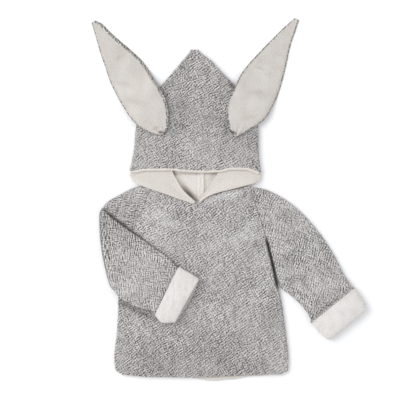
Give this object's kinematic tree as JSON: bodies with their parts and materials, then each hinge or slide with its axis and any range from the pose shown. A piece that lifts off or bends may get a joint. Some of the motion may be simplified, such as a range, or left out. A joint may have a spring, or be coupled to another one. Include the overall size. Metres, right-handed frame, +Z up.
{
  "type": "toddler hoodie",
  "caption": "Toddler's pullover hoodie laid flat: marled grey double knit, cream inside, with a pointed hood, long ears, raglan sleeves and turned-back cuffs, one sleeve across it.",
  "frame": {"origin": "on the surface it lies on, under the middle of the garment's outline", "axes": "+X across the chest towards the wearer's left, +Y from the hem to the hood's point, +Z up from the surface"},
  "size_m": [0.5233, 0.6877, 0.0228],
  "materials": {
    "marl_knit": "matte",
    "cream_knit": "matte"
  },
  "bodies": {
    "root": {"front": "marl_knit", "back": "marl_knit", "hood_front": "marl_knit", "hood_back": "marl_knit", "hood_edge": "cream_knit", "hood_seam": "cream_knit", "cheek_right": "cream_knit", "cheek_left": "cream_knit", "sleeve_left": "marl_knit", "cuff_left": "cream_knit", "sleeve_right": "marl_knit", "cuff_right": "cream_knit", "ear_right": "cream_knit", "ear_left": "cream_knit"}
  },
  "joints": []
}
